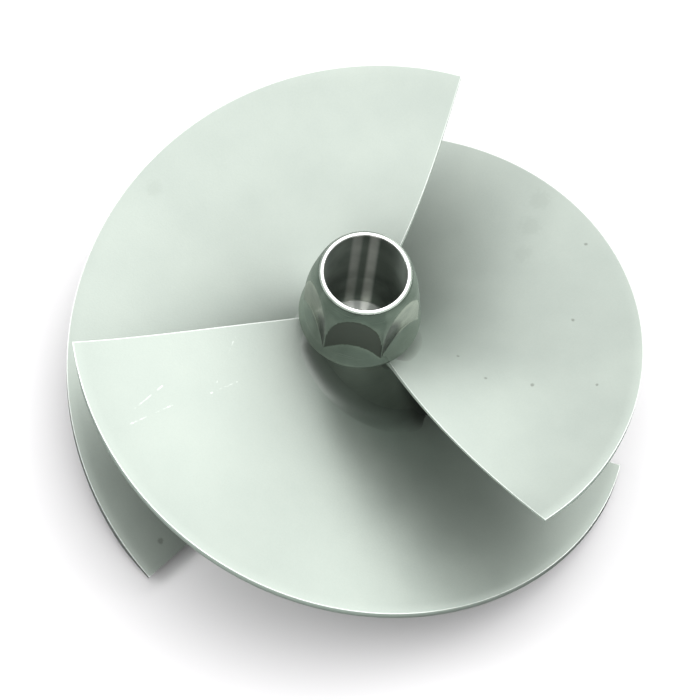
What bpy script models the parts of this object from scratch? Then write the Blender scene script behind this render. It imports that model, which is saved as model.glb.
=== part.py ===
"""Three-bladed jet pump impeller: turned hub, pressed blades, welded roots.

Units are metres and +Z is up.  The origin is on the hub axis, in the plane of
the rear face that the impeller stands on, and the nose points along +Z.
"""
import math

import bmesh
import bpy
from mathutils import Vector

MM = 0.001

# Overall sizes
RIM_R = 77.5 * MM            # rim radius, turned to a cylinder
TIP_Z = 56.5 * MM            # height of the leading-edge tips above the rear face
NOSE_RISE = 21.9 * MM        # nose face above the leading-edge tips
FIT_GAP = 0.3 * MM           # space left between pieces that touch

# Blades
BLADE_COUNT = 3
FIRST_TIP_DEG = 76.6         # direction of the first leading-edge tip
WRAP_DEG = 157.3             # angle that one blade turns through at the rim
BLADE_DROP = 53.4 * MM       # fall of the front face from leading to trailing edge
PITCH_GROWTH = 0.286         # how much steeper the blade gets towards its trailing edge
LEAD_SWEEP_DEG = (-4.7, -5.0)     # leading edge swept back towards the root
LEAD_DIP = (-0.283, 0.258)        # leading edge dips between tip and root, in rim radii
TRAIL_SWEEP_DEG = 1.3
RIM_THICKNESS = 2.6 * MM
ROOT_THICKNESS = 3.6 * MM
LEAD_THINNING = 0.34         # edge thickness over full thickness at the leading edge
TRAIL_THINNING = 0.42
LEAD_TAPER = 0.07            # share of the wrap over which the leading edge thins
TRAIL_TAPER = 0.06
STEPS_ALONG = 38
STEPS_ACROSS = 6
ROOT_ROUNDS = 8              # rounds in which the flared root radius settles

# Root welds, ground to a hollow fillet
FRONT_LEG = 4.5 * MM
BACK_LEG = 3.0 * MM
WELD_STEPS = 20
FILLET_STEPS = 3
WELD_SPAN = (0.012, 0.985)
WELD_END_LEG = 0.2           # leg at the two ends, as a share of the full leg
WELD_END_SPAN = 1.0 / 6.0    # share of the run over which the leg grows to its full size

# Hub barrel
TURN_STEPS = 48
BORE_R = 11.0 * MM
BARREL_TOP_R = 13.0 * MM
BARREL_REAR_R = 23.0 * MM
BARREL_FLARE = 1.8
BARREL_TOP_Z = TIP_Z - 2.7 * MM
SKIRT_WALL = 3.8 * MM
SKIRT_DEPTH = 17.0 * MM
SKIRT_ROOF_Z = 19.0 * MM
SKIRT_COVE = (2.0 * MM, 1.5 * MM)    # coved corner under the skirt's roof, inward and down
BARREL_STEPS = 11

# Drive nose with its six wrench flats
NOSE_TOP_Z = TIP_Z + NOSE_RISE
NOSE_FOOT_Z = TIP_Z - 2.4 * MM
FLAT_COUNT = 6
FLAT_APOTHEM = 13.5 * MM     # 27 mm across flats
FLAT_TURN_DEG = -2.0
COLLAR_R = 16.4 * MM
COLLAR_EDGE_Z = TIP_Z - 1.2 * MM
COLLAR_SLOPE = 0.464         # how fast the collar's cone narrows upwards
COLLAR_CONE_RISE = 9.0 * MM  # height of the cone, whose top is hidden in the hexagon
FOOT_CHAMFER = (0.5 * MM, 0.4 * MM)  # inward and up, round the foot of the nose
GUIDE_MARGIN = 2.0 * MM      # how far a cutting guide stands past what it cuts
NOSE_PROFILE = (             # radius, height above the leading-edge tips, in millimetres
    (16.3, 0.0), (15.9, 3.0), (15.65, 7.0), (15.3, 11.5), (14.95, 14.2),
    (14.35, 16.8), (13.45, 19.2), (12.65, 21.2), (12.25, 21.9),
)

# Shaft sleeve: spline towards the nose, plain thread bore towards the rear
SLEEVE_TOP_Z = TIP_Z - 16.0 * MM
SLEEVE_FOOT_Z = 3.0 * MM
SPLINE_TEETH = 18
SPLINE_ROOT_R = 7.6 * MM
SPLINE_CREST_R = 6.7 * MM
SPLINE_FOOT_Z = 22.0 * MM
RELIEF_R = 8.0 * MM
RELIEF_FOOT_Z = 19.5 * MM
THREAD_R = 7.0 * MM
MOUTH_CHAMFER = 0.5 * MM

STEEL_MATT = (0.74, 0.80, 0.75, 1.0)
STEEL_TURNED = (0.42, 0.46, 0.42, 1.0)
STEEL_WELD = (0.66, 0.72, 0.67, 1.0)


def clear_scene():
    for item in list(bpy.data.objects):
        bpy.data.objects.remove(item, do_unlink=True)


def steel(name, colour, roughness):
    """A bare stainless steel finish."""
    material = bpy.data.materials.new(name)
    material.use_nodes = True
    shader = material.node_tree.nodes["Principled BSDF"]
    shader.inputs["Base Color"].default_value = colour
    shader.inputs["Roughness"].default_value = roughness
    shader.inputs["Metallic"].default_value = 1.0
    return material


def add_object(name, form, material, sharp_deg=30.0):
    """Turn a bmesh into a named object that is smooth except at its real edges."""
    bmesh.ops.recalc_face_normals(form, faces=form.faces)
    mesh = bpy.data.meshes.new(name)
    form.to_mesh(mesh)
    form.free()
    mesh.shade_smooth()
    mesh.set_sharp_from_angle(angle=math.radians(sharp_deg))
    mesh.materials.append(material)
    item = bpy.data.objects.new(name, mesh)
    bpy.context.scene.collection.objects.link(item)
    return item


def polar(radius, angle, height):
    return Vector((radius * math.cos(angle), radius * math.sin(angle), height))


def bridge_loops(form, first, second):
    """Join two closed loops of the same length with a band of quads."""
    count = len(first)
    for k in range(count):
        nxt = (k + 1) % count
        form.faces.new((first[k], first[nxt], second[nxt], second[k]))


def ring_body(loops):
    """A closed ring-shaped body: each loop is joined to the next, the last to the first."""
    form = bmesh.new()
    rows = [[form.verts.new(point) for point in loop] for loop in loops]
    for k, row in enumerate(rows):
        bridge_loops(form, row, rows[(k + 1) % len(rows)])
    return form


def circle(radius, height, steps=TURN_STEPS, turn=0.0):
    step = 2.0 * math.pi / steps
    return [polar(radius, turn + k * step, height) for k in range(steps)]


def smooth_step(x):
    x = min(max(x, 0.0), 1.0)
    return x * x * (3.0 - 2.0 * x)


def barrel_radius(height):
    """Outer radius of the barrel, which flares towards the rear face."""
    down = min(max((BARREL_TOP_Z - height) / BARREL_TOP_Z, 0.0), 1.0)
    return BARREL_TOP_R + (BARREL_REAR_R - BARREL_TOP_R) * down ** BARREL_FLARE


def lead_dip(inward):
    return RIM_R * (LEAD_DIP[0] * inward + LEAD_DIP[1] * inward ** 2)


def blade_thickness(along, inward):
    """Plate thickness, thinner towards the rim and ground thin at both ends."""
    full = RIM_THICKNESS + (ROOT_THICKNESS - RIM_THICKNESS) * inward
    lead = LEAD_THINNING + (1.0 - LEAD_THINNING) * smooth_step(along / LEAD_TAPER)
    trail = TRAIL_THINNING + (1.0 - TRAIL_THINNING) * smooth_step((1.0 - along) / TRAIL_TAPER)
    return full * lead * trail


def blade_point(tip_deg, along, radius, depth):
    """A point at a depth below the blade's front face.

    along runs from 0 at the leading edge to 1 at the trailing edge.  The depth
    is measured square to the helix, within the cylinder of the given radius.
    """
    inward = 1.0 - radius / RIM_R
    lead_deg = LEAD_SWEEP_DEG[0] * inward + LEAD_SWEEP_DEG[1] * inward ** 2
    trail_deg = WRAP_DEG + TRAIL_SWEEP_DEG * inward
    angle = math.radians(tip_deg + lead_deg + along * (trail_deg - lead_deg))
    fall = BLADE_DROP * (along + PITCH_GROWTH * along * (along - 1.0))
    height = TIP_Z - fall + (1.0 - along) * lead_dip(inward)
    slope = BLADE_DROP * (1.0 + PITCH_GROWTH * (2.0 * along - 1.0)) + lead_dip(inward)
    pitch = math.atan2(slope, radius * math.radians(trail_deg - lead_deg))
    angle -= depth * math.sin(pitch) / radius
    return polar(radius, angle, height - depth * math.cos(pitch))


def near_hub(tip_deg, along, clearance, lift, back):
    """A point at a clearance from the barrel, lifted off the blade's front or back face."""
    radius = BARREL_TOP_R + clearance
    for _ in range(ROOT_ROUNDS):
        depth = -lift
        if back:
            depth = blade_thickness(along, 1.0 - radius / RIM_R) + lift
        point = blade_point(tip_deg, along, radius, depth)
        radius = barrel_radius(point.z) + clearance
    return point


def root_radius(tip_deg, along, back):
    """Radius where the front or back face of a blade stops short of the barrel."""
    radius = BARREL_TOP_R + FIT_GAP
    for _ in range(ROOT_ROUNDS):
        depth = blade_thickness(along, 1.0 - radius / RIM_R) if back else 0.0
        radius = barrel_radius(blade_point(tip_deg, along, radius, depth).z) + FIT_GAP
    return radius


def blade_stations():
    """Places along the blade, closer together where its two ends thin."""
    lead = [0.0, 0.25 * LEAD_TAPER, 0.6 * LEAD_TAPER]
    trail = [1.0 - 0.6 * TRAIL_TAPER, 1.0 - 0.25 * TRAIL_TAPER, 1.0]
    span = 1.0 - LEAD_TAPER - TRAIL_TAPER
    middle = [LEAD_TAPER + span * k / STEPS_ALONG for k in range(STEPS_ALONG + 1)]
    return lead + middle + trail


def blade_form(tip_deg):
    """One blade: a band of closed sections from the leading to the trailing edge."""
    form = bmesh.new()
    sections = []
    for along in blade_stations():
        section = []
        for back in (False, True):
            root = root_radius(tip_deg, along, back)
            row = []
            for k in range(STEPS_ACROSS + 1):
                radius = root + (RIM_R - root) * k / STEPS_ACROSS
                depth = blade_thickness(along, 1.0 - radius / RIM_R) if back else 0.0
                row.append(blade_point(tip_deg, along, radius, depth))
            section += row[::-1] if back else row
        sections.append([form.verts.new(point) for point in section])
    for first, second in zip(sections, sections[1:]):
        bridge_loops(form, first, second)
    form.faces.new(sections[0])
    form.faces.new(sections[-1])
    return form


def weld_form(tip_deg, back):
    """A ground weld along one side of a blade root, hollow towards the open corner."""
    form = bmesh.new()
    sections = []
    full_leg = BACK_LEG if back else FRONT_LEG
    for k in range(WELD_STEPS + 1):
        share = k / WELD_STEPS
        along = WELD_SPAN[0] + (WELD_SPAN[1] - WELD_SPAN[0]) * share
        ends = smooth_step(min(share, 1.0 - share) / WELD_END_SPAN)
        leg = full_leg * (WELD_END_LEG + (1.0 - WELD_END_LEG) * ends)
        corners = [(FIT_GAP, FIT_GAP)]
        for step in range(FILLET_STEPS + 1):
            turn = 0.5 * math.pi * step / FILLET_STEPS
            reach = leg - FIT_GAP
            corners.append((leg - reach * math.sin(turn), leg - reach * math.cos(turn)))
        section = [near_hub(tip_deg, along, clearance, lift, back) for clearance, lift in corners]
        sections.append([form.verts.new(point) for point in section])
    for first, second in zip(sections, sections[1:]):
        bridge_loops(form, first, second)
    form.faces.new(sections[0])
    form.faces.new(sections[-1])
    return form


def barrel_form():
    """The flared barrel: a through bore and a hollow skirt open to the rear."""
    skirt_top_r = barrel_radius(SKIRT_DEPTH) - SKIRT_WALL
    outline = [(BORE_R, BARREL_TOP_Z), (barrel_radius(BARREL_TOP_Z), BARREL_TOP_Z)]
    heights = [BARREL_TOP_Z * (1.0 - k / BARREL_STEPS) for k in range(1, BARREL_STEPS + 1)]
    outline += [(barrel_radius(height), height) for height in heights]
    outline.append((BARREL_REAR_R - SKIRT_WALL, 0.0))
    outline.append((skirt_top_r, SKIRT_DEPTH - SKIRT_COVE[1]))
    outline.append((skirt_top_r - SKIRT_COVE[0], SKIRT_ROOF_Z))
    outline.append((BORE_R, SKIRT_ROOF_Z))
    return ring_body([circle(radius, height) for radius, height in outline])


def nose_form():
    """The turned bell of the nose, before its flats are milled."""
    outline = [(BORE_R, NOSE_FOOT_Z), (COLLAR_R - FOOT_CHAMFER[0], NOSE_FOOT_Z)]
    outline.append((COLLAR_R, NOSE_FOOT_Z + FOOT_CHAMFER[1]))
    outline.append((COLLAR_R, COLLAR_EDGE_Z))
    outline += [(radius * MM, TIP_Z + rise * MM) for radius, rise in NOSE_PROFILE]
    outline += [(BORE_R, NOSE_TOP_Z)]
    return ring_body([circle(radius, height) for radius, height in outline])


def solid_prism(rings):
    """A closed body through rings of the same length, capped at both ends."""
    form = bmesh.new()
    rows = [[form.verts.new(point) for point in ring] for ring in rings]
    for first, second in zip(rows, rows[1:]):
        bridge_loops(form, first, second)
    form.faces.new(rows[0])
    form.faces.new(rows[-1])
    return form


def as_guide(item):
    item.hide_render = True
    item.display_type = "WIRE"
    return item


def add_boolean(item, other, operation):
    cut = item.modifiers.new(operation.title(), "BOOLEAN")
    cut.operation = operation
    cut.solver = "EXACT"
    cut.object = other


def add_nose(material):
    """The nose is what the bell shares with a hexagon standing on a conical collar."""
    nose = add_object("drive_nose", nose_form(), material)
    corner_r = FLAT_APOTHEM / math.cos(math.pi / FLAT_COUNT)
    turn = math.radians(FLAT_TURN_DEG)
    below = NOSE_FOOT_Z - GUIDE_MARGIN
    above = NOSE_TOP_Z + GUIDE_MARGIN
    hexagon = [circle(corner_r, height, FLAT_COUNT, turn) for height in (below, above)]
    flats = as_guide(add_object("wrench_flats", solid_prism(hexagon), material))
    cone_foot_r = COLLAR_R + GUIDE_MARGIN
    cone = [(cone_foot_r, below), (cone_foot_r, COLLAR_EDGE_Z - 0.5 * GUIDE_MARGIN)]
    cone.append((COLLAR_R, COLLAR_EDGE_Z))
    cone.append((COLLAR_R - COLLAR_SLOPE * COLLAR_CONE_RISE, COLLAR_EDGE_Z + COLLAR_CONE_RISE))
    rings = [circle(radius, height) for radius, height in cone]
    collar = as_guide(add_object("collar_cone", solid_prism(rings), material))
    add_boolean(flats, collar, "UNION")
    add_boolean(nose, flats, "INTERSECT")


def spline_loop(height):
    """One section of the internal spline, with four corners to each tooth."""
    loop = []
    pitch = 2.0 * math.pi / SPLINE_TEETH
    corners = ((0.0, SPLINE_ROOT_R), (0.38, SPLINE_ROOT_R), (0.58, SPLINE_CREST_R), (0.80, SPLINE_CREST_R))
    for tooth in range(SPLINE_TEETH):
        for share, radius in corners:
            loop.append(polar(radius, (tooth + share) * pitch, height))
    return loop


def sleeve_circle(radius, height):
    """A round section with the same corner directions as the spline."""
    return [polar(radius, math.atan2(p.y, p.x), height) for p in spline_loop(height)]


def sleeve_form():
    """The shaft sleeve: splined from the nose side, bored for the pump shaft's thread."""
    outer_r = BORE_R - FIT_GAP
    loops = [
        sleeve_circle(outer_r - MOUTH_CHAMFER, SLEEVE_FOOT_Z),
        sleeve_circle(outer_r, SLEEVE_FOOT_Z + MOUTH_CHAMFER),
        sleeve_circle(outer_r, SLEEVE_TOP_Z),
        sleeve_circle(SPLINE_ROOT_R + MOUTH_CHAMFER, SLEEVE_TOP_Z),
        spline_loop(SLEEVE_TOP_Z - 2.0 * MOUTH_CHAMFER),
        spline_loop(SPLINE_FOOT_Z),
        sleeve_circle(RELIEF_R, SPLINE_FOOT_Z),
        sleeve_circle(RELIEF_R, RELIEF_FOOT_Z),
        sleeve_circle(THREAD_R, RELIEF_FOOT_Z),
        sleeve_circle(THREAD_R, SLEEVE_FOOT_Z + 2.0 * MOUTH_CHAMFER),
        sleeve_circle(THREAD_R + 2.0 * MOUTH_CHAMFER, SLEEVE_FOOT_Z),
    ]
    return ring_body(loops)


def main():
    clear_scene()
    matt = steel("blade_steel", STEEL_MATT, 0.42)
    turned = steel("turned_steel", STEEL_TURNED, 0.24)
    ground = steel("ground_weld", STEEL_WELD, 0.34)
    add_object("hub_barrel", barrel_form(), turned)
    add_nose(turned)
    add_object("shaft_sleeve", sleeve_form(), turned)
    for number in range(1, BLADE_COUNT + 1):
        tip_deg = FIRST_TIP_DEG + 360.0 / BLADE_COUNT * (number - 1)
        add_object(f"blade_{number}", blade_form(tip_deg), matt)
        add_object(f"front_weld_{number}", weld_form(tip_deg, back=False), ground)
        add_object(f"back_weld_{number}", weld_form(tip_deg, back=True), ground)


main()
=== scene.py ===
import math

import bpy
from mathutils import Matrix, Vector


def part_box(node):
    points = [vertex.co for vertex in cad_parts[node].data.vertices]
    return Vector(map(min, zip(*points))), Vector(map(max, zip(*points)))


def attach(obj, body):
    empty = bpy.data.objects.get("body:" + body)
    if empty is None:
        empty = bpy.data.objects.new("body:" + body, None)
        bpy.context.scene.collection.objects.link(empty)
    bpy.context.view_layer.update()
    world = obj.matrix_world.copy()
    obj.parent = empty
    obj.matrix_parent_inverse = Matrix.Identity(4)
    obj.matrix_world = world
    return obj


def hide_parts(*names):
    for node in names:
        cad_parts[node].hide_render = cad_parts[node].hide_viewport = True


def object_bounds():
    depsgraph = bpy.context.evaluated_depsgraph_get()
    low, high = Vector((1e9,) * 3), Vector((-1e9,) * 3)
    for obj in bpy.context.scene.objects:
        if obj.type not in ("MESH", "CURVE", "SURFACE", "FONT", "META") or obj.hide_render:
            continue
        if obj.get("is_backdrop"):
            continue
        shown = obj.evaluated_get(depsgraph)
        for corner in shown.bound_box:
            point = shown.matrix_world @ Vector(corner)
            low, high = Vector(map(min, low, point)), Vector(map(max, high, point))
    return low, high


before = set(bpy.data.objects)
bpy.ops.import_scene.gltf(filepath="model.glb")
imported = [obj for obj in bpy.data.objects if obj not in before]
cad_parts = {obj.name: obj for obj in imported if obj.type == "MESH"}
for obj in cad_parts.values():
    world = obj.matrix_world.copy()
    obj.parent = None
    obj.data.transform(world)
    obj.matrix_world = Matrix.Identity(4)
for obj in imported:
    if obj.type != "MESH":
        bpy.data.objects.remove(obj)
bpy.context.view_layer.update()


# The table: a pale matt sheet that the impeller stands on, nose up.
# It is a flat panel, far wider than the impeller, with softly rounded corners.
# It gives less light back than it shows, and near the impeller its bounce is darker still: painted shade
# where the impeller shades it.

MM = 0.001
TABLE_HALF = 1.6
TABLE_CORNER = 0.3
TABLE_CORNER_STEPS = 8
TABLE_COLOUR = (0.93, 0.94, 0.93, 1.0)
TABLE_PAINTED_SHADE = (0.05, 0.055, 0.05, 1.0)
TABLE_LIT = (0.30, 0.36, 0.32, 1.0)
TABLE_PAINTED_SHADE_EDGE = (78.0 * MM, 104.0 * MM)
TABLE_ROUGHNESS = 0.9
TABLE_GLOSS = 0.2


def put(tree, kind, inputs=(), **settings):
    """Add a node.  A socket given for an input is linked to it, and a value is set on it."""
    node = tree.nodes.new(kind)
    for name, value in settings.items():
        setattr(node, name, value)
    for name, value in dict(inputs).items():
        if isinstance(value, bpy.types.NodeSocket):
            tree.links.new(value, node.inputs[name])
        else:
            node.inputs[name].default_value = value
    return node


def vectors(tree, how, first, second=(0.0, 0.0, 0.0)):
    """Reckon with one or two vectors, to a number or to another vector."""
    node = put(tree, "ShaderNodeVectorMath", {0: first, 1: second}, operation=how)
    gives_number = how in ("LENGTH", "DISTANCE", "DOT_PRODUCT")
    return node.outputs["Value" if gives_number else "Vector"]


def span(tree, value, low, high, to_low=0.0, to_high=1.0, how="LINEAR"):
    """The value's place between low and high, measured from to_low to to_high."""
    return put(tree, "ShaderNodeMapRange", {
        "Value": value, "From Min": low, "From Max": high, "To Min": to_low, "To Max": to_high,
    }, interpolation_type=how).outputs["Result"]


def blend_colour(tree, share, first, second):
    """From the first colour to the second.  The node's colour sockets go by number."""
    return put(tree, "ShaderNodeMix", {0: share, 6: first, 7: second}, data_type="RGBA").outputs[2]


def surface_point(tree):
    return put(tree, "ShaderNodeTexCoord").outputs["Object"]


def edit_whole():
    bpy.ops.object.mode_set(mode="EDIT")
    bpy.ops.mesh.select_all(action="SELECT")


bpy.ops.object.select_all(action="DESELECT")
bpy.ops.mesh.primitive_plane_add(size=2.0 * TABLE_HALF)
table = bpy.context.object
table.name = "table"
edit_whole()
bpy.ops.mesh.bevel(offset=TABLE_CORNER, segments=TABLE_CORNER_STEPS, affect="VERTICES")
bpy.ops.object.mode_set(mode="OBJECT")
table_sheet = bpy.data.materials.new("table_sheet")
table_sheet.use_nodes = True
tree = table_sheet.node_tree
shader = tree.nodes["Principled BSDF"]
shader.inputs["Roughness"].default_value = TABLE_ROUGHNESS
shader.inputs["Specular IOR Level"].default_value = TABLE_GLOSS
away = vectors(tree, "LENGTH", surface_point(tree))
# Painted shade: the bounce colour darkens towards the impeller, as if in its shadow.
clear_of_painted_shade = span(tree, away, TABLE_PAINTED_SHADE_EDGE[0], TABLE_PAINTED_SHADE_EDGE[1], how="SMOOTHSTEP")
bounce = blend_colour(tree, clear_of_painted_shade, TABLE_PAINTED_SHADE, TABLE_LIT)
seen = put(tree, "ShaderNodeLightPath").outputs["Is Camera Ray"]
tree.links.new(blend_colour(tree, seen, bounce, TABLE_COLOUR), shader.inputs["Base Color"])
table.data.materials.append(table_sheet)
table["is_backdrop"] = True


# The light: a white tent, brightest overhead, dark round its foot and leaning to the
# back right, since a satin metal shows what stands round it.  Two windows shine through
# it.  Its glow below the table's level is met only where the table is left out.

TENT_COLOUR = (1.0, 0.98, 1.0, 1.0)
TENT_TOP = 2.36
TENT_FOOT_RISE = 0.26
TENT_LEAN = (0.61, 0.61, 0.0)
TENT_BEHIND = 0.9
TENT_BELOW = 0.9
TENT_BELOW_EDGE = (-0.05, -0.15)
# Each window has its azimuth and elevation in degrees, its tightness and its strength.
WINDOWS = ((183.0, 33.0, 60.0, 8.0), (72.0, 24.0, 60.0, 3.1))


def maths(tree, how, first, second=0.0, third=0.0):
    return put(tree, "ShaderNodeMath", {0: first, 1: second, 2: third}, operation=how).outputs[0]


def part_of(tree, vector, axis):
    return put(tree, "ShaderNodeSeparateXYZ", {0: vector}).outputs[axis]


def bearing(azimuth, elevation=0.0):
    """The direction at an azimuth and an elevation in degrees."""
    level = math.cos(math.radians(elevation))
    return (level * math.cos(math.radians(azimuth)), level * math.sin(math.radians(azimuth)),
            math.sin(math.radians(elevation)))


tent = bpy.data.worlds.new("tent")
bpy.context.scene.world = tent
tent.use_nodes = True
tree = tent.node_tree
sky = tree.nodes["Background"]
sky.inputs["Color"].default_value = TENT_COLOUR
towards = put(tree, "ShaderNodeTexCoord").outputs["Generated"]
upwards = part_of(tree, towards, "Z")
glow = span(tree, upwards, TENT_FOOT_RISE, 1.0, 0.0, TENT_TOP)
below = span(tree, upwards, TENT_BELOW_EDGE[0], TENT_BELOW_EDGE[1], 0.0, TENT_BELOW)
glow = maths(tree, "ADD", glow, below)
lean = maths(tree, "ADD", vectors(tree, "DOT_PRODUCT", towards, TENT_LEAN), 1.0)
glow = maths(tree, "MULTIPLY", glow, maths(tree, "MAXIMUM", lean, 0.0))
for azimuth, elevation, tightness, strength in WINDOWS:
    facing = vectors(tree, "DOT_PRODUCT", towards, bearing(azimuth, elevation))
    beam = maths(tree, "EXPONENT", maths(tree, "MULTIPLY_ADD", facing, tightness, -tightness))
    glow = maths(tree, "MULTIPLY_ADD", beam, strength, glow)
seen = put(tree, "ShaderNodeLightPath").outputs["Is Camera Ray"]
tree.links.new(span(tree, seen, 0.0, 1.0, glow, TENT_BEHIND), sky.inputs["Strength"])


# The camera: a long lens from high in front, rolled a little, as the photograph was
# taken.  It looks at the nose's collar, a little in front of the hub's axis.

VIEW_ELEVATION = 63.48
VIEW_ROLL = 8.51
VIEW_DISTANCE = 1.55
VIEW_LENS = 299.6
VIEW_SENSOR = 36.0
VIEW_NEAR = 0.05
VIEW_FAR = 20.0
VIEW_AIM = Vector((-1.09 * MM, -12.34 * MM, 56.5 * MM))

rise = math.radians(VIEW_ELEVATION)
roll = math.radians(VIEW_ROLL)
back = Vector((0.0, -math.cos(rise), math.sin(rise)))
level_right = Vector((1.0, 0.0, 0.0))
level_up = Vector((0.0, math.sin(rise), math.cos(rise)))
right = math.cos(roll) * level_right + math.sin(roll) * level_up
up = -math.sin(roll) * level_right + math.cos(roll) * level_up
lens = bpy.data.cameras.new("camera")
lens.sensor_width = VIEW_SENSOR
lens.lens = VIEW_LENS
lens.clip_start = VIEW_NEAR
lens.clip_end = VIEW_FAR
camera = bpy.data.objects.new("camera", lens)
bpy.context.scene.collection.objects.link(camera)
turn = Matrix((right, up, back)).transposed().to_4x4()
camera.matrix_world = Matrix.Translation(VIEW_AIM + VIEW_DISTANCE * back) @ turn
bpy.context.scene.camera = camera
bpy.context.scene.view_settings.view_transform = "Standard"


# Shaft sleeve: a stainless bush pressed into the hub bore.  Its upper half is
# broached with splines for the drive shaft, and its lower half is tapped for the
# pump shaft, with a relief groove between the two.

sleeve_low, sleeve_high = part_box("shaft_sleeve")
SLEEVE_R = 11.2 * MM
SLEEVE_CHAMFER = 0.5 * MM
SPLINE_TEETH = 18
SPLINE_STEPS = 8
SPLINE_CREST_R = 6.7 * MM
SPLINE_ROOT_R = 7.6 * MM
SPLINE_FOOT_Z = 22.0 * MM
SPLINE_MARGIN = 0.1 * MM
RELIEF_R = 8.0 * MM
RELIEF_FOOT_Z = 19.5 * MM
THREAD_CREST_R = 6.9 * MM
THREAD_ROOT_R = 7.7 * MM
THREAD_PITCH = 1.5 * MM
THREAD_TURNS = 14
THREAD_STEPS = 72
THREAD_TOOL_R = 0.55 * THREAD_PITCH
THREAD_LEAD_IN = 2.0 * THREAD_PITCH


def face_outwards():
    """Turn the faces of the piece that is being edited outwards, and leave edit mode."""
    bpy.ops.mesh.select_all(action="SELECT")
    bpy.ops.mesh.normals_make_consistent(inside=False)
    bpy.ops.object.mode_set(mode="OBJECT")


def turned_ring(name, outline, steps=128):
    """A ring as a lathe leaves it.  Its outline runs round the section, radius and height."""
    bpy.ops.object.select_all(action="DESELECT")
    bpy.ops.mesh.primitive_circle_add(vertices=steps, radius=outline[0][0])
    ring = bpy.context.object
    ring.name = name
    edit_whole()
    bpy.ops.transform.translate(value=(0.0, 0.0, outline[0][1]))
    for (radius, height), (next_radius, next_height) in zip(outline, outline[1:]):
        bpy.ops.mesh.extrude_region_move(
            TRANSFORM_OT_translate={"value": (0.0, 0.0, next_height - height)})
        grow = next_radius / radius
        bpy.ops.transform.resize(value=(grow, grow, 1.0), center_override=(0.0, 0.0, next_height))
    bpy.ops.mesh.select_all(action="DESELECT")
    bpy.ops.mesh.select_mode(type="EDGE")
    bpy.ops.mesh.select_non_manifold()
    bpy.ops.mesh.bridge_edge_loops()
    bpy.ops.mesh.select_mode(type="VERT")
    face_outwards()
    return ring


def pick(piece):
    bpy.ops.object.select_all(action="DESELECT")
    bpy.context.view_layer.objects.active = piece
    piece.select_set(True)


def keep_modifiers(piece):
    pick(piece)
    for modifier in list(piece.modifiers):
        bpy.ops.object.modifier_apply(modifier=modifier.name)


def finish_smooth(piece, angle=30.0):
    pick(piece)
    bpy.ops.object.shade_smooth_by_angle(angle=math.radians(angle))


sleeve = turned_ring("sleeve", [
    (SLEEVE_R - SLEEVE_CHAMFER, sleeve_low.z), (SLEEVE_R, sleeve_low.z + SLEEVE_CHAMFER),
    (SLEEVE_R, sleeve_high.z - SLEEVE_CHAMFER), (SLEEVE_R - SLEEVE_CHAMFER, sleeve_high.z),
    (SPLINE_ROOT_R + SLEEVE_CHAMFER, sleeve_high.z), (SPLINE_CREST_R, sleeve_high.z - SLEEVE_CHAMFER),
    (SPLINE_CREST_R, SPLINE_FOOT_Z), (RELIEF_R, SPLINE_FOOT_Z), (RELIEF_R, RELIEF_FOOT_Z),
    (THREAD_CREST_R, RELIEF_FOOT_Z), (THREAD_CREST_R, sleeve_low.z + SLEEVE_CHAMFER),
    (THREAD_ROOT_R, sleeve_low.z),
], SPLINE_TEETH * SPLINE_STEPS)
for vertex in sleeve.data.vertices:
    radius = vertex.co.xy.length
    if vertex.co.z < SPLINE_FOOT_Z - SPLINE_MARGIN or radius > SPLINE_CREST_R + SPLINE_MARGIN:
        continue
    step = round(math.atan2(vertex.co.y, vertex.co.x) / (2.0 * math.pi) * SPLINE_TEETH * SPLINE_STEPS)
    if step % SPLINE_STEPS >= SPLINE_STEPS // 2:
        vertex.co.xy *= SPLINE_ROOT_R / radius
bpy.ops.object.select_all(action="DESELECT")
bpy.ops.mesh.primitive_circle_add(
    vertices=3, radius=THREAD_TOOL_R, rotation=(0.5 * math.pi, 0.0, 0.0))
thread_tool = bpy.context.object
bpy.ops.object.transform_apply(location=False, rotation=True, scale=False)
edit_whole()
bpy.ops.transform.rotate(value=-0.5 * math.pi, orient_axis="Y", center_override=(0.0, 0.0, 0.0))
bpy.ops.transform.translate(
    value=(THREAD_ROOT_R - THREAD_TOOL_R, 0.0, sleeve_low.z - THREAD_LEAD_IN))
bpy.ops.object.mode_set(mode="OBJECT")
coil = thread_tool.modifiers.new("coil", "SCREW")
coil.angle = 2.0 * math.pi
coil.screw_offset = THREAD_PITCH
coil.iterations = THREAD_TURNS
coil.steps = THREAD_STEPS
coil.render_steps = THREAD_STEPS
keep_modifiers(thread_tool)
edit_whole()
bpy.ops.mesh.fill_holes(sides=3)
face_outwards()
tapped = sleeve.modifiers.new("tapped", "BOOLEAN")
tapped.operation = "DIFFERENCE"
tapped.solver = "EXACT"
tapped.object = thread_tool
keep_modifiers(sleeve)
bpy.data.objects.remove(thread_tool, do_unlink=True)
finish_smooth(sleeve)

# Its finish, which the nose and its bore share: fine grooves round the axis, and a polished lip,
# sleeve top and worn edges that are lightened towards white, partly as polish and wear and partly
# as a painted highlight, and two pale streaks that run along the bore as painted reflections.

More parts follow.
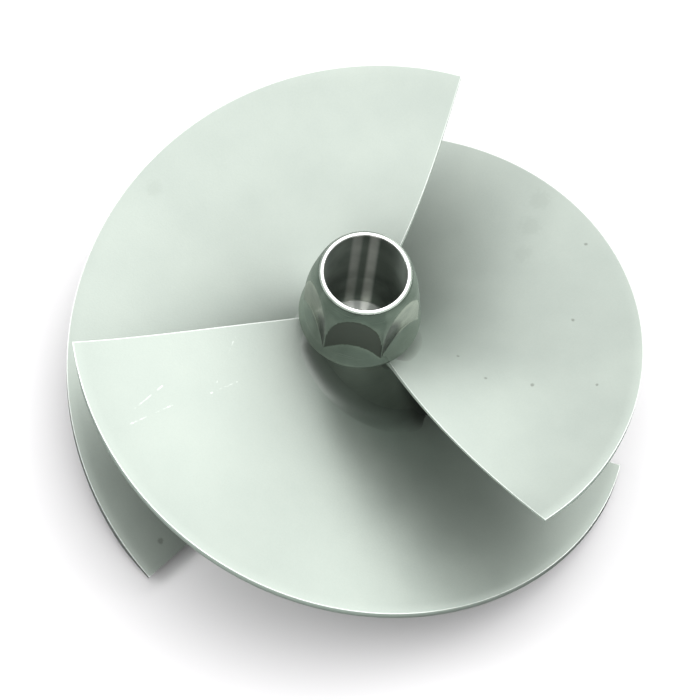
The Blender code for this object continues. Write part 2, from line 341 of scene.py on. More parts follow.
nose_low, nose_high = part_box("drive_nose")
CLOUD_DETAIL = 4.0
CLOUD_RANGE = (0.3, 0.7)
GRAIN_RANGE = (0.25, 0.75)
ROUND_CHANGE = 0.7
EDGE_SAMPLES = 6
EDGE_RANGE = (0.995, 0.88)
TURNED_DARK = (0.158, 0.19, 0.163, 1.0)
TURNED_PALE = (0.31, 0.36, 0.31, 1.0)
TURNED_EDGE_GLINT = (0.95, 0.97, 0.94, 1.0)
TURNED_CLOUD = 9.0 * MM
TURNED_FEED = 0.22 * MM
TURNED_WEAR = 0.12 * MM
TURNED_GROOVES = 0.35
TURNED_ROUGHNESS = 0.2
BORE_ROUGHNESS = 0.4
BORE_FADE = 0.15 * MM
GROOVE_ROUGHNESS = 0.08
POLISH = 0.06
LIP_EDGE_R = 11.85 * MM
LIP_FADE = 0.1 * MM
LIP_DEPTH = (0.12 * MM, 0.03 * MM)
SLEEVE_TOP_FADE = (0.4 * MM, 0.2 * MM)
SLEEVE_TOP_GLINT = 0.5
STREAK_REFLECTION_COLOUR = (0.95, 0.98, 0.90, 1.0)
STREAK_REFLECTION_EDGE = 0.987
STREAK_REFLECTION_LEAST = 0.55
# Each painted reflection streak has its azimuth in degrees and its strength.
PAINTED_REFLECTION_STREAKS = ((84.0, 1.0), (108.0, 0.6))
GROOVE_RELIEF = 0.25
GROOVE_DEPTH = 0.02 * MM
BRUSHED = 0.9
BRUSHED_TURN = 0.25


def effect(name, inputs):
    """A new group of nodes with named inputs, and the node that brings them in."""
    tree = bpy.data.node_groups.new(name, "ShaderNodeTree")
    for label, value in inputs.items():
        kind = "NodeSocketVector" if isinstance(value, tuple) else "NodeSocketFloat"
        tree.interface.new_socket(label, in_out="INPUT", socket_type=kind).default_value = value
    return tree, put(tree, "NodeGroupInput").outputs


def give(tree, results):
    """Bring a group's results out under their names."""
    for label in results:
        tree.interface.new_socket(label, in_out="OUTPUT", socket_type="NodeSocketFloat")
    put(tree, "NodeGroupOutput", results)


def place(tree, group, values):
    return put(tree, "ShaderNodeGroup", values, node_tree=group).outputs


def noise(tree, where, scale, detail=2.0):
    values = {"Vector": where, "Scale": scale, "Detail": detail}
    return put(tree, "ShaderNodeTexNoise", values).outputs["Fac"]


def off_axis(tree, where):
    """The part of a place that is square to the hub's axis."""
    return vectors(tree, "MULTIPLY", where, (1.0, 1.0, 0.0))


def mixed_marks(tree, first, second, share):
    """A share of the first mask, and the rest from the second."""
    return maths(tree, "MULTIPLY_ADD", first, share, maths(tree, "MULTIPLY", second, 1.0 - share))


def new_metal(name):
    """A bare metal material, and the tree and shader that its finish is built on."""
    made = bpy.data.materials.new(name)
    made.use_nodes = True
    shader = made.node_tree.nodes["Principled BSDF"]
    shader.inputs["Metallic"].default_value = 1.0
    return made, made.node_tree, shader


def dress(tree, shader, colour, roughness):
    tree.links.new(colour, shader.inputs["Base Color"])
    tree.links.new(roughness, shader.inputs["Roughness"])


def raise_marks(tree, shader, height, strength, depth):
    relief = put(tree, "ShaderNodeBump", {"Strength": strength, "Distance": depth, "Height": height})
    tree.links.new(relief.outputs["Normal"], shader.inputs["Normal"])


mottle, given = effect("mottle", {"Cloud Size": 20.0 * MM, "Grain Size": 0.5 * MM})
where = surface_point(mottle)
cloud = noise(mottle, where, maths(mottle, "DIVIDE", 1.0, given["Cloud Size"]), CLOUD_DETAIL)
grain = noise(mottle, where, maths(mottle, "DIVIDE", 1.0, given["Grain Size"]))
give(mottle, {
    "Cloud": span(mottle, cloud, CLOUD_RANGE[0], CLOUD_RANGE[1]),
    "Grain": span(mottle, grain, GRAIN_RANGE[0], GRAIN_RANGE[1])})

lathe_marks, given = effect("lathe_marks", {"Feed": 0.25 * MM})
where = surface_point(lathe_marks)
flat = off_axis(lathe_marks, where)
radius = vectors(lathe_marks, "LENGTH", flat)
height = part_of(lathe_marks, where, "Z")
sideways = part_of(lathe_marks, vectors(lathe_marks, "NORMALIZE", flat), "X")
turned = put(lathe_marks, "ShaderNodeCombineXYZ", {
    "X": maths(lathe_marks, "DIVIDE", radius, given["Feed"]),
    "Y": maths(lathe_marks, "DIVIDE", height, given["Feed"]),
    "Z": maths(lathe_marks, "MULTIPLY", sideways, ROUND_CHANGE)})
groove = noise(lathe_marks, turned.outputs[0], 1.0)
give(lathe_marks, {"Groove": span(lathe_marks, groove, GRAIN_RANGE[0], GRAIN_RANGE[1])})

# Edges, for wear and for a painted highlight where they catch the light.
edge_wear_and_glint, given = effect("edge_wear_and_glint", {"Width": 0.4 * MM})
rounded = put(edge_wear_and_glint, "ShaderNodeBevel", {"Radius": given["Width"]}, samples=EDGE_SAMPLES)
plain = put(edge_wear_and_glint, "ShaderNodeNewGeometry")
likeness = vectors(edge_wear_and_glint, "DOT_PRODUCT", rounded.outputs["Normal"], plain.outputs["Normal"])
give(edge_wear_and_glint, {"Edge": span(edge_wear_and_glint, likeness, EDGE_RANGE[0], EDGE_RANGE[1])})

turned_steel, tree, shader = new_metal("lathe_turned_steel")
tone = place(tree, mottle, {"Cloud Size": TURNED_CLOUD})
marks = place(tree, lathe_marks, {"Feed": TURNED_FEED})
worn_and_glint = place(tree, edge_wear_and_glint, {"Width": TURNED_WEAR})["Edge"]
where = surface_point(tree)
flat = off_axis(tree, where)
reach = vectors(tree, "LENGTH", flat)
around = vectors(tree, "NORMALIZE", flat)
height = part_of(tree, where, "Z")
bored = span(tree, reach, SLEEVE_R + BORE_FADE, SLEEVE_R)
at_lip = span(tree, height, nose_high.z - LIP_DEPTH[0], nose_high.z - LIP_DEPTH[1])
lip_glint = maths(tree, "MULTIPLY", at_lip, span(tree, reach, LIP_EDGE_R + LIP_FADE, LIP_EDGE_R))
from_top = maths(tree, "ABSOLUTE", maths(tree, "SUBTRACT", height, sleeve_high.z))
at_top = span(tree, from_top, SLEEVE_TOP_FADE[0], SLEEVE_TOP_FADE[1])
sleeve_top_glint = maths(tree, "MULTIPLY", at_top, maths(tree, "MULTIPLY", bored, SLEEVE_TOP_GLINT))
# Painted reflection: two pale streaks on the bore's far wall, where it mirrors the light.
painted_streaks = 0.0
for azimuth, strength in PAINTED_REFLECTION_STREAKS:
    facing = vectors(tree, "DOT_PRODUCT", around, bearing(azimuth))
    mark = span(tree, facing, STREAK_REFLECTION_EDGE, 1.0, 0.0, strength, "SMOOTHSTEP")
    painted_streaks = maths(tree, "MAXIMUM", painted_streaks, mark)
streak_patches = maths(tree, "MULTIPLY", bored, span(tree, tone["Cloud"], 0.0, 1.0, STREAK_REFLECTION_LEAST, 1.0))
painted_streaks = maths(tree, "MULTIPLY", painted_streaks, streak_patches)
banding = mixed_marks(tree, marks["Groove"], tone["Cloud"], TURNED_GROOVES)
colour = blend_colour(tree, banding, TURNED_DARK, TURNED_PALE)
colour = blend_colour(tree, painted_streaks, colour, STREAK_REFLECTION_COLOUR)
# Painted highlight: the lip, the sleeve top and the worn edges are lightened towards near white.
glint_and_wear = maths(tree, "MAXIMUM", maths(tree, "MAXIMUM", worn_and_glint, lip_glint), sleeve_top_glint)
rough = span(tree, bored, 0.0, 1.0, TURNED_ROUGHNESS, BORE_ROUGHNESS)
rough = maths(tree, "MULTIPLY_ADD", marks["Groove"], GROOVE_ROUGHNESS, rough)
dress(tree, shader, blend_colour(tree, glint_and_wear, colour, TURNED_EDGE_GLINT),
      maths(tree, "MULTIPLY_ADD", glint_and_wear, -POLISH, rough))
raise_marks(tree, shader, marks["Groove"], GROOVE_RELIEF, GROOVE_DEPTH)
shader.inputs["Anisotropic"].default_value = BRUSHED
shader.inputs["Anisotropic Rotation"].default_value = BRUSHED_TURN
round_axis = put(tree, "ShaderNodeTangent", direction_type="RADIAL", axis="Z")
tree.links.new(round_axis.outputs["Tangent"], shader.inputs["Tangent"])
sleeve.data.materials.append(turned_steel)
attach(sleeve, "root")
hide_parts("shaft_sleeve")


# Hub barrel: a stainless tube turned to a gentle flare, which carries the blades.
# Its rear is hollowed out to a skirt, and the sleeve stands in the middle of it.
# Its outside is satin, kept dark partly as its own tone and partly as painted shade under the collar,
# and its bore is turned together with the nose's.

barrel_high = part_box("hub_barrel")[1]
BORE_R = 11.0 * MM
BORE_MARGIN = 0.2 * MM
BARREL_TOP_R = 13.0 * MM
BARREL_REAR_R = barrel_high.x
BARREL_FLARE = 1.8
BARREL_LAP = 0.2 * MM
BARREL_EDGE = 0.3 * MM
FLARE_STEPS = 28
SKIRT_WALL = 3.8 * MM
SKIRT_DEPTH = 17.0 * MM
ROOF_Z = 19.0 * MM
ROOF_FOOT_Z = 15.0 * MM
ROOF_REACH = 3.0 * MM
ROOF_STEPS = 6
SATIN_DARK_AND_SHADE = (0.19, 0.215, 0.19, 1.0)
SATIN_PALE_AND_SHADE = (0.26, 0.29, 0.255, 1.0)
SATIN_CLOUD = 14.0 * MM
SATIN_GRAIN = 0.4 * MM
SATIN_FEED = 0.3 * MM
SATIN_GROOVES = 0.3
SATIN_ROUGHNESS = 0.4
SATIN_GRAIN_ROUGHNESS = 0.08
SATIN_RELIEF = 0.2
SATIN_RELIEF_DEPTH = 0.04 * MM


def barrel_radius(height):
    down = min(max(1.0 - height / barrel_high.z, 0.0), 1.0)
    return BARREL_TOP_R + (BARREL_REAR_R - BARREL_TOP_R) * down ** BARREL_FLARE


def break_edges(piece, width, segments=2, angle=30.0):
    """Round the sharp edges as a file or a wheel does."""
    bevel = piece.modifiers.new("edges", "BEVEL")
    bevel.width = width
    bevel.segments = segments
    bevel.limit_method = "ANGLE"
    bevel.angle_limit = math.radians(angle)
    keep_modifiers(piece)


outline = [(BORE_R, nose_low.z + BARREL_LAP), (BARREL_TOP_R, nose_low.z + BARREL_LAP)]
for k in range(FLARE_STEPS + 1):
    height = barrel_high.z * (1.0 - k / FLARE_STEPS)
    outline.append((barrel_radius(height), height))
roof_r = barrel_radius(SKIRT_DEPTH) - SKIRT_WALL
outline.append((BARREL_REAR_R - SKIRT_WALL, 0.0))
outline.append((roof_r, ROOF_FOOT_Z))
for k in range(1, ROOF_STEPS + 1):
    sweep = 0.5 * math.pi * k / ROOF_STEPS
    outline.append((roof_r - ROOF_REACH * (1.0 - math.cos(sweep)),
                    ROOF_FOOT_Z + (ROOF_Z - ROOF_FOOT_Z) * math.sin(sweep)))
outline.append((BORE_R, ROOF_Z))
barrel = turned_ring("barrel", outline)
break_edges(barrel, BARREL_EDGE)
finish_smooth(barrel)

satin_steel, tree, shader = new_metal("satin_hub_steel")
tone = place(tree, mottle, {"Cloud Size": SATIN_CLOUD, "Grain Size": SATIN_GRAIN})
marks = place(tree, lathe_marks, {"Feed": SATIN_FEED})
mixed = mixed_marks(tree, marks["Groove"], tone["Cloud"], SATIN_GROOVES)
# Painted shade in part: the outside is coloured dark for the shade beneath the collar.
dress(tree, shader, blend_colour(tree, mixed, SATIN_DARK_AND_SHADE, SATIN_PALE_AND_SHADE),
      maths(tree, "MULTIPLY_ADD", tone["Grain"], SATIN_GRAIN_ROUGHNESS, SATIN_ROUGHNESS))
raise_marks(tree, shader, marks["Groove"], SATIN_RELIEF, SATIN_RELIEF_DEPTH)
barrel.data.materials.append(satin_steel)
barrel.data.materials.append(turned_steel)
for face in barrel.data.polygons:
    if face.center.xy.length < BORE_R + BORE_MARGIN:
        face.material_index = 1
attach(barrel, "root")
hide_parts("hub_barrel")


# Drive nose: a stainless bell welded on the barrel, turned, then milled with six
# wrench flats that run out on a conical collar.  Its lip is a narrow polished ring, lightened as a
# painted highlight, and the flat at the front is darkened with a painted dark reflection.

TIP_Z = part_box("blade_1")[1].z
NOSE_TOP_R = 12.25 * MM
NOSE_TOP_ROUND = 0.35 * MM
NOSE_LAP = 0.1 * MM
NOSE_FOOT = ((0.5 * MM, 0.0), (0.1 * MM, 0.15 * MM))
NOSE_WALL_FOOT = 0.4 * MM
NOSE_WALL_TOP = 0.15 * MM
NOSE_STEPS = 62
NOSE_SIDES = 288
NOSE_MARGIN = 0.05 * MM
NOSE_BLEND = 0.5 * MM
NOSE_SMOOTH_DEG = 40.0
BORE_CHAMFER = 0.25 * MM
COLLAR_R = nose_high.x
COLLAR_EDGE_Z = TIP_Z - 1.2 * MM
COLLAR_SLOPE = 0.464
FLAT_COUNT = 6
FLAT_APOTHEM = 13.5 * MM
FLAT_TURN_DEG = -2.0
# The bell's radius, and its height above the blade tips, in millimetres.
NOSE_CURVE = (
    (17.2, -1.2), (16.3, 0.0), (15.9, 3.0), (15.65, 7.0), (15.3, 11.5), (14.95, 14.2),
    (14.35, 16.8), (13.45, 19.2), (12.65, 21.2), (12.25, 21.9),
)
MILLED_DARK = (0.36, 0.39, 0.34, 1.0)
MILLED_PALE = (0.56, 0.585, 0.50, 1.0)
MILLED_CLOUD = 5.0 * MM
MILLED_GRAIN = 0.25 * MM
MILLED_ROUGHNESS = 0.16
MILLED_GRAIN_ROUGHNESS = 0.06
MILLED_MARGIN = 0.06 * MM
MILLED_BELOW_TOP = 2.0 * MM
MILLED_TILT = 0.2
FLAT_DARK_REFLECTION = (0.085, 0.095, 0.08, 1.0)
FLAT_REFLECTION_CENTRE = (0.5 * MM, -13.5 * MM, 65.0 * MM)
FLAT_REFLECTION_EDGE = (13.0 * MM, 11.0 * MM)


def nose_radius(rise):
    """Radius of the bell at a height above the blade tips, smoothed between its points."""
    points = [(r * MM, z * MM) for r, z in NOSE_CURVE]
    k = 0
    while k < len(points) - 2 and rise > points[k + 1][1]:
        k += 1
    r1, z1 = points[k]
    r2, z2 = points[k + 1]
    before = points[max(k - 1, 0)]
    after = points[min(k + 2, len(points) - 1)]
    slope1 = (r2 - before[0]) / (z2 - before[1])
    slope2 = (after[0] - r1) / (after[1] - z1)
    gap = z2 - z1
    t = min(max((rise - z1) / gap, 0.0), 1.0)
    lower = (2.0 * t ** 3 - 3.0 * t ** 2 + 1.0) * r1 + (t ** 3 - 2.0 * t ** 2 + t) * gap * slope1
    return lower + (3.0 * t ** 2 - 2.0 * t ** 3) * r2 + (t ** 3 - t ** 2) * gap * slope2


def soft_least(first, second, blend):
    """The lesser of two lengths, rounded over where they cross."""
    gap = max(blend - abs(first - second), 0.0) / blend
    return min(first, second) - gap * gap * blend * 0.25


def soft_most(first, second, blend):
    return -soft_least(-first, -second, blend)


def off_flat(point):
    """The angle from the middle of the flat on the point's side."""
    sector = 2.0 * math.pi / FLAT_COUNT
    angle = math.atan2(point.y, point.x) - math.radians(FLAT_TURN_DEG)
    return (angle % sector) - 0.5 * sector


outline = [(BORE_R, nose_low.z - NOSE_LAP)]
for inset, lift in NOSE_FOOT:
    outline.append((COLLAR_R - inset, nose_low.z + lift))
wall_low = nose_low.z + NOSE_WALL_FOOT
wall_high = nose_high.z - NOSE_WALL_TOP
for k in range(NOSE_STEPS + 1):
    outline.append((COLLAR_R, wall_low + (wall_high - wall_low) * k / NOSE_STEPS))
outline.append((NOSE_TOP_R - NOSE_TOP_ROUND, nose_high.z))
outline.append((BORE_R + BORE_CHAMFER, nose_high.z))
outline.append((BORE_R, nose_high.z - BORE_CHAMFER))
nose = turned_ring("nose", outline, NOSE_SIDES)
for vertex in nose.data.vertices:
    radius = math.hypot(vertex.co.x, vertex.co.y)
    if radius < COLLAR_R - NOSE_MARGIN:
        continue
    flat_r = FLAT_APOTHEM / math.cos(off_flat(vertex.co))
    cone_r = COLLAR_R - COLLAR_SLOPE * (vertex.co.z - COLLAR_EDGE_Z)
    target = soft_most(flat_r, cone_r, NOSE_BLEND)
    target = soft_least(target, nose_radius(vertex.co.z - TIP_Z), NOSE_BLEND)
    vertex.co.xy *= min(target, COLLAR_R) / radius
finish_smooth(nose, NOSE_SMOOTH_DEG)

milled_steel, tree, shader = new_metal("milled_flat_steel")
tone = place(tree, mottle, {"Cloud Size": MILLED_CLOUD, "Grain Size": MILLED_GRAIN})
# Painted reflection: the front flat is darkened round a point, as a reflection of the shaded blade
# below.
away = vectors(tree, "DISTANCE", surface_point(tree), FLAT_REFLECTION_CENTRE)
painted_reflection = span(tree, away, FLAT_REFLECTION_EDGE[0], FLAT_REFLECTION_EDGE[1])
colour = blend_colour(tree, tone["Cloud"], MILLED_DARK, MILLED_PALE)
dress(tree, shader, blend_colour(tree, painted_reflection, colour, FLAT_DARK_REFLECTION),
      maths(tree, "MULTIPLY_ADD", tone["Grain"], MILLED_GRAIN_ROUGHNESS, MILLED_ROUGHNESS))
nose.data.materials.append(turned_steel)
nose.data.materials.append(milled_steel)
for face in nose.data.polygons:
    across = face.center.xy.length * math.cos(off_flat(face.center))
    on_flat = abs(across - FLAT_APOTHEM) < MILLED_MARGIN and abs(face.normal.z) < MILLED_TILT
    if on_flat and face.center.z < nose_high.z - MILLED_BELOW_TOP:
        face.material_index = 1
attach(nose, "root")
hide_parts("drive_nose")


# Blades: three stainless plates pressed to one helix, each more than a third of a
# turn long, so that they overlap.  They are welded on, and the rim is then turned.
# Their faces are blasted to a satin, with painted shade on the rear faces that look downwards.

RIM_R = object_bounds()[1].y
BLADE_COUNT = 3
FIRST_TIP_DEG = 76.6
WRAP_DEG = 157.3
BLADE_DROP = 53.4 * MM
PITCH_GROWTH = 0.286
LEAD_SWEEP_DEG = (-4.7, -5.0)
LEAD_DIP = (-0.283, 0.258)
TRAIL_SWEEP_DEG = 1.3
RIM_THICKNESS = 2.6 * MM
ROOT_THICKNESS = 3.6 * MM
LEAD_THINNING = 0.24
TRAIL_THINNING = 0.42
LEAD_TAPER = 0.07
TRAIL_TAPER = 0.06
ROOT_SINK = 1.2 * MM
HUB_ROUNDS = 8
PLATE_STEPS = (150, 22)
END_CROWDING = 0.85
BLADE_EDGE = 0.28 * MM
BLADE_EDGE_STEPS = 3
BLADE_EDGE_DEG = 50.0
BLADE_SMOOTH_DEG = 40.0


def smooth_step(x):
    x = min(max(x, 0.0), 1.0)
    return x * x * (3.0 - 2.0 * x)


def blade_thickness(along, inward):
    full = RIM_THICKNESS + (ROOT_THICKNESS - RIM_THICKNESS) * inward
    lead = LEAD_THINNING + (1.0 - LEAD_THINNING) * smooth_step(along / LEAD_TAPER)
    trail = TRAIL_THINNING + (1.0 - TRAIL_THINNING) * smooth_step((1.0 - along) / TRAIL_TAPER)
    return full * lead * trail


def blade_point(along, radius, depth):
    """A point at a depth below the first blade's front face, square to the helix."""
    inward = 1.0 - radius / RIM_R
    lead_deg = LEAD_SWEEP_DEG[0] * inward + LEAD_SWEEP_DEG[1] * inward ** 2
    trail_deg = WRAP_DEG + TRAIL_SWEEP_DEG * inward
    angle = math.radians(FIRST_TIP_DEG + lead_deg + along * (trail_deg - lead_deg))
    dip = RIM_R * (LEAD_DIP[0] * inward + LEAD_DIP[1] * inward ** 2)
    fall = BLADE_DROP * (along + PITCH_GROWTH * along * (along - 1.0))
    height = TIP_Z - fall + (1.0 - along) * dip
    slope = BLADE_DROP * (1.0 + PITCH_GROWTH * (2.0 * along - 1.0)) + dip
    pitch = math.atan2(slope, radius * math.radians(trail_deg - lead_deg))
    angle -= depth * math.sin(pitch) / radius
    return Vector((radius * math.cos(angle), radius * math.sin(angle), height - depth * math.cos(pitch)))


def near_hub(along, clearance, depth):
    """A point at a clearance out from the barrel and a depth below the blade's front face."""
    radius = BARREL_TOP_R + clearance
    for _ in range(HUB_ROUNDS):
        point = blade_point(along, radius, depth)
        radius = barrel_radius(point.z) + clearance
    return point


def press_plate(name):
    """A flat blank pressed to the helix, with closer steps towards its two ends."""
    bpy.ops.object.select_all(action="DESELECT")
    bpy.ops.mesh.primitive_grid_add(
        x_subdivisions=PLATE_STEPS[0], y_subdivisions=PLATE_STEPS[1], size=1.0)
    plate = bpy.context.object
    plate.name = name
    wall = plate.modifiers.new("wall", "SOLIDIFY")
    wall.thickness = 1.0
    wall.offset = 1.0
    keep_modifiers(plate)
    for vertex in plate.data.vertices:
        share = vertex.co.x + 0.5
        crowded = share - END_CROWDING * math.sin(2.0 * math.pi * share) / (2.0 * math.pi)
        along = min(max(crowded, 0.0), 1.0)
        root = near_hub(along, -ROOT_SINK, 0.0).xy.length
        radius = root + (RIM_R - root) * (vertex.co.y + 0.5)
        depth = blade_thickness(along, 1.0 - radius / RIM_R) if vertex.co.z < 0.5 else 0.0
        vertex.co = blade_point(along, radius, depth)
    edit_whole()
    face_outwards()
    return plate


def turned_copy(piece, name, number):
    """A copy of a piece, turned about the hub to the place of another blade."""
    pick(piece)
    bpy.ops.object.duplicate()
    copy = bpy.context.object
    copy.name = name
    copy.rotation_euler.z = 2.0 * math.pi / BLADE_COUNT * (number - 1)
    bpy.ops.object.transform_apply(location=False, rotation=True, scale=False)
    return copy


first_blade = press_plate("plate_1")
break_edges(first_blade, BLADE_EDGE, BLADE_EDGE_STEPS, BLADE_EDGE_DEG)
finish_smooth(first_blade, BLADE_SMOOTH_DEG)

# Their finish: cloudy and finely grained, with a few pits, faint smudges and broken scratches; the worn
# edges and the turned rim are lightened towards white, partly as wear and partly as a painted highlight.

SPOT_NOISE = 1.2 * MM
SPOT_RAGGED = (0.7, 1.3)
SPOT_EDGE = (1.0, 0.4)
SCRATCH_NOISE = 1.6 * MM
SCRATCH_BREAKS = (0.42, 0.62)
SCRATCH_EDGE = (1.0, 0.3)
BLADE_METALLIC = 0.8
BLADE_DARK = (0.43, 0.49, 0.44, 1.0)
BLADE_PALE = (0.51, 0.575, 0.515, 1.0)
BLADE_STAIN = (0.26, 0.29, 0.25, 1.0)
BLADE_UNDERSIDE_SHADE = (0.26, 0.30, 0.265, 1.0)
BLADE_WEAR_AND_GLINT = (0.92, 0.97, 0.92, 1.0)
BLADE_CLOUD = 24.0 * MM
BLADE_GRAIN = 0.45 * MM
BLADE_GRAIN_SHARE = 0.25
BLADE_WEAR = 0.55 * MM
BLADE_ROUGHNESS = 0.5
BLADE_CLOUD_ROUGHNESS = 0.05
BLADE_POLISH = 0.22
RIM_LAND = (0.12 * MM, 0.04 * MM)
UNDERSIDE_SHADE_TILT = (-0.1, -0.35)
# Each pit and smudge has its place and its radius, in millimetres.
PITS = (
    (57.5, 16.2, 37.3, 0.7), (48.6, -7.8, 42.9, 0.8), (65.9, -5.5, 44.0, 0.6), (58.5, 42.3, 32.7, 0.6),
    (36.1, -7.8, 42.8, 0.6), (27.9, -1.3, 40.4, 0.6), (-44.3, -52.3, 4.9, 1.1),
)
PIT_SHARE = 0.75
PIT_HEIGHT = -2.0
SMUDGES = (
    (44.6, 56.7, 27.2, 4.0), (43.0, 48.0, 28.0, 4.0), (41.9, 38.3, 29.0, 3.5), (-60.6, 38.3, 35.3, 3.0),
)
SMUDGE_SHARE = 0.12
# Each scratch has the places of its two ends, in millimetres.
SCRATCHES = (
    ((-55.8, -40.2, 49.6), (-44.5, -30.9, 47.3)), ((-55.2, -35.4, 49.7), (-49.1, -27.4, 48.9)),
    ((-36.0, -25.9, 46.1), (-29.7, -21.3, 45.6)), ((-34.9, -22.7, 46.5), (-32.0, -10.1, 49.5)),
)
SCRATCH_WIDTH = 0.25 * MM
SCRATCH_SHARE = 0.7
SCRATCH_HEIGHT = -1.0
CLOUD_HEIGHT = 0.6
BLADE_RELIEF = 0.2
BLADE_RELIEF_DEPTH = 0.05 * MM


def in_metres(place_mm):
    return tuple(length * MM for length in place_mm)


def spots_at(places):
    return [{"Centre": in_metres((x, y, z)), "Radius": size * MM} for x, y, z, size in places]


def strongest(tree, group, marks):
    """The strongest of several marks of one kind."""
    most = 0.0
    for values in marks:
        most = maths(tree, "MAXIMUM", most, place(tree, group, values)["Mark"])
    return most


spot, given = effect("spot", {"Centre": (0.0, 0.0, 0.0), "Radius": 1.0 * MM})
where = surface_point(spot)
away = vectors(spot, "DISTANCE", where, given["Centre"])
uneven = noise(spot, where, 1.0 / SPOT_NOISE)
ragged = span(spot, uneven, CLOUD_RANGE[0], CLOUD_RANGE[1], SPOT_RAGGED[0], SPOT_RAGGED[1])
share = maths(spot, "DIVIDE", away, maths(spot, "MULTIPLY", given["Radius"], ragged))
give(spot, {"Mark": span(spot, share, SPOT_EDGE[0], SPOT_EDGE[1], how="SMOOTHSTEP")})

scratch, given = effect("scratch", {
    "Start": (0.0, 0.0, 0.0), "End": (0.0, 0.0, 0.0), "Width": 0.3 * MM})
where = surface_point(scratch)
run = vectors(scratch, "SUBTRACT", given["End"], given["Start"])
gone = vectors(scratch, "SUBTRACT", where, given["Start"])
share = put(scratch, "ShaderNodeMath", {
    0: vectors(scratch, "DOT_PRODUCT", gone, run), 1: vectors(scratch, "DOT_PRODUCT", run, run),
}, operation="DIVIDE", use_clamp=True).outputs[0]
nearest = put(scratch, "ShaderNodeVectorMath", {0: run, "Scale": share}, operation="SCALE").outputs[0]
off = maths(scratch, "DIVIDE", vectors(scratch, "DISTANCE", gone, nearest), given["Width"])
line = span(scratch, off, SCRATCH_EDGE[0], SCRATCH_EDGE[1], how="SMOOTHSTEP")
uneven = noise(scratch, where, 1.0 / SCRATCH_NOISE)
broken = span(scratch, uneven, SCRATCH_BREAKS[0], SCRATCH_BREAKS[1])
give(scratch, {"Mark": maths(scratch, "MULTIPLY", line, broken)})

blade_steel, tree, shader = new_metal("blasted_steel")
shader.inputs["Metallic"].default_value = BLADE_METALLIC
tone = place(tree, mottle, {"Cloud Size": BLADE_CLOUD, "Grain Size": BLADE_GRAIN})
worn_and_glint = place(tree, edge_wear_and_glint, {"Width": BLADE_WEAR})["Edge"]
reach = vectors(tree, "LENGTH", off_axis(tree, surface_point(tree)))
rim_glint = span(tree, reach, RIM_R - RIM_LAND[0], RIM_R - RIM_LAND[1])
dirt = strongest(tree, spot, spots_at(PITS))
haze = strongest(tree, spot, spots_at(SMUDGES))
scuff = strongest(tree, scratch, [
    {"Start": in_metres(start), "End": in_metres(end), "Width": SCRATCH_WIDTH}
    for start, end in SCRATCHES])
mixed = mixed_marks(tree, tone["Grain"], tone["Cloud"], BLADE_GRAIN_SHARE)
colour = blend_colour(tree, mixed, BLADE_DARK, BLADE_PALE)
faces_up = part_of(tree, put(tree, "ShaderNodeTexCoord").outputs["Normal"], "Z")
# Painted shade: faces that look downwards are darkened.
colour = blend_colour(tree, span(tree, faces_up, UNDERSIDE_SHADE_TILT[0], UNDERSIDE_SHADE_TILT[1]), colour, BLADE_UNDERSIDE_SHADE)
colour = blend_colour(tree, maths(tree, "MULTIPLY", haze, SMUDGE_SHARE), colour, BLADE_STAIN)
colour = blend_colour(tree, maths(tree, "MULTIPLY", dirt, PIT_SHARE), colour, BLADE_STAIN)
# Painted highlight in part: edges and rim land, with the scratches, are lightened towards near white.
glint_and_wear = maths(tree, "MAXIMUM", worn_and_glint, rim_glint)
glint_and_wear = maths(tree, "MAXIMUM", glint_and_wear, maths(tree, "MULTIPLY", scuff, SCRATCH_SHARE))
rough = maths(tree, "MULTIPLY_ADD", tone["Cloud"], BLADE_CLOUD_ROUGHNESS, BLADE_ROUGHNESS)
dress(tree, shader, blend_colour(tree, glint_and_wear, colour, BLADE_WEAR_AND_GLINT),
      maths(tree, "MULTIPLY_ADD", glint_and_wear, -BLADE_POLISH, rough))
height = maths(tree, "MULTIPLY_ADD", tone["Cloud"], CLOUD_HEIGHT, tone["Grain"])
height = maths(tree, "MULTIPLY_ADD", scuff, SCRATCH_HEIGHT, height)
height = maths(tree, "MULTIPLY_ADD", dirt, PIT_HEIGHT, height)
raise_marks(tree, shader, height, BLADE_RELIEF, BLADE_RELIEF_DEPTH)
first_blade.data.materials.append(blade_steel)
for number in range(1, BLADE_COUNT + 1):
    blade = first_blade if number == 1 else turned_copy(first_blade, f"plate_{number}", number)
    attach(blade, "root")
    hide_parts(f"blade_{number}")


# Root welds: a run of filler along each side of a blade root, ground to a smooth
# hollow that blends the plate into the barrel and thins out at both ends.
# The ground steel is satin, with painted shade that darkens it towards the barrel.

FRONT_LEG = 4.5 * MM
BACK_LEG = 3.0 * MM
WELD_SPAN = (0.004, 0.992)
WELD_END_LEG = 0.2
WELD_ENDS = 7.0
WELD_STEPS = (110, 14)
WELD_SINK = 0.6 * MM
WELD_LAP = 0.03 * MM
WELD_CLOSE = 0.01 * MM
WELD_SMOOTH_DEG = 50.0
ROOT_INWARD = 0.78
WELD_DARK = (0.443, 0.491, 0.446, 1.0)
WELD_PALE = (0.488, 0.540, 0.491, 1.0)
WELD_CLOUD = 6.0 * MM
WELD_GRAIN = 0.35 * MM
WELD_FEED = 0.8 * MM
WELD_GROOVES = 0.3
WELD_PAINTED_SHADE_REACH = 4.4 * MM
WELD_ROUGHNESS = 0.44
WELD_GRAIN_ROUGHNESS = 0.1
WELD_RELIEF = 0.2
WELD_RELIEF_DEPTH = 0.06 * MM


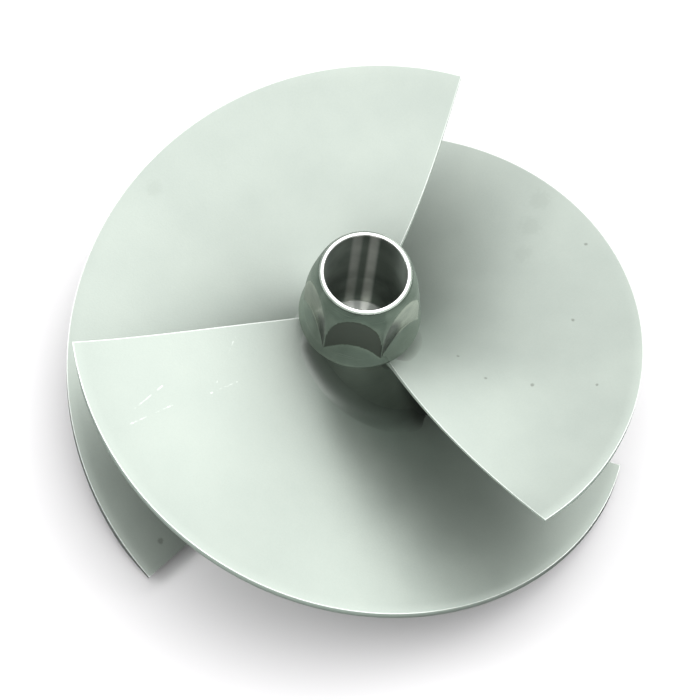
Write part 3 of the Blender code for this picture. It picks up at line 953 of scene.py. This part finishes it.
def lay_weld(name, full_leg, rear):
    """A run of filler: a strip wrapped to a hollow section and laid along the root."""
    bpy.ops.object.select_all(action="DESELECT")
    bpy.ops.mesh.primitive_grid_add(
        x_subdivisions=WELD_STEPS[0], y_subdivisions=WELD_STEPS[1], size=1.0)
    weld = bpy.context.object
    weld.name = name
    for vertex in weld.data.vertices:
        share = vertex.co.x + 0.5
        step = round((vertex.co.y + 0.5) * WELD_STEPS[1])
        along = WELD_SPAN[0] + (WELD_SPAN[1] - WELD_SPAN[0]) * share
        ends = smooth_step(min(share, 1.0 - share) * WELD_ENDS)
        leg = full_leg * (WELD_END_LEG + (1.0 - WELD_END_LEG) * ends)
        clearance = -WELD_SINK
        lift = -WELD_SINK
        if 0 < step < WELD_STEPS[1]:
            sweep = 0.5 * math.pi * (step - 1) / (WELD_STEPS[1] - 2)
            clearance = leg - (leg + WELD_LAP) * math.sin(sweep)
            lift = leg - (leg + WELD_LAP) * math.cos(sweep)
        depth = blade_thickness(along, ROOT_INWARD) + lift if rear else -lift
        vertex.co = near_hub(along, clearance, depth)
    edit_whole()
    bpy.ops.mesh.remove_doubles(threshold=WELD_CLOSE)
    bpy.ops.mesh.select_all(action="DESELECT")
    bpy.ops.mesh.select_non_manifold()
    bpy.ops.mesh.edge_face_add()
    face_outwards()
    finish_smooth(weld, WELD_SMOOTH_DEG)
    return weld


weld_steel, tree, shader = new_metal("ground_weld_steel")
tone = place(tree, mottle, {"Cloud Size": WELD_CLOUD, "Grain Size": WELD_GRAIN})
marks = place(tree, lathe_marks, {"Feed": WELD_FEED})
where = surface_point(tree)
# Painted shade: the weld darkens to the barrel's colour in the corner where blade and barrel meet.
down = span(tree, part_of(tree, where, "Z"), barrel_high.z, 0.0)
flare = maths(tree, "POWER", down, BARREL_FLARE)
skin = maths(tree, "MULTIPLY_ADD", flare, BARREL_REAR_R - BARREL_TOP_R, BARREL_TOP_R)
away = maths(tree, "SUBTRACT", vectors(tree, "LENGTH", off_axis(tree, where)), skin)
painted_root_shade = span(tree, away, WELD_PAINTED_SHADE_REACH, 0.0, how="SMOOTHSTEP")
mixed = mixed_marks(tree, marks["Groove"], tone["Cloud"], WELD_GROOVES)
colour = blend_colour(tree, mixed, WELD_DARK, WELD_PALE)
dress(tree, shader, blend_colour(tree, painted_root_shade, colour, SATIN_DARK_AND_SHADE),
      maths(tree, "MULTIPLY_ADD", tone["Grain"], WELD_GRAIN_ROUGHNESS, WELD_ROUGHNESS))
height = maths(tree, "ADD", tone["Grain"], marks["Groove"])
raise_marks(tree, shader, height, WELD_RELIEF, WELD_RELIEF_DEPTH)
for side, leg, rear in (("front", FRONT_LEG, False), ("back", BACK_LEG, True)):
    first_weld = lay_weld(f"{side}_bead_1", leg, rear)
    first_weld.data.materials.append(weld_steel)
    for number in range(1, BLADE_COUNT + 1):
        weld = first_weld if number == 1 else turned_copy(first_weld, f"{side}_bead_{number}", number)
        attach(weld, "root")
        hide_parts(f"{side}_weld_{number}")
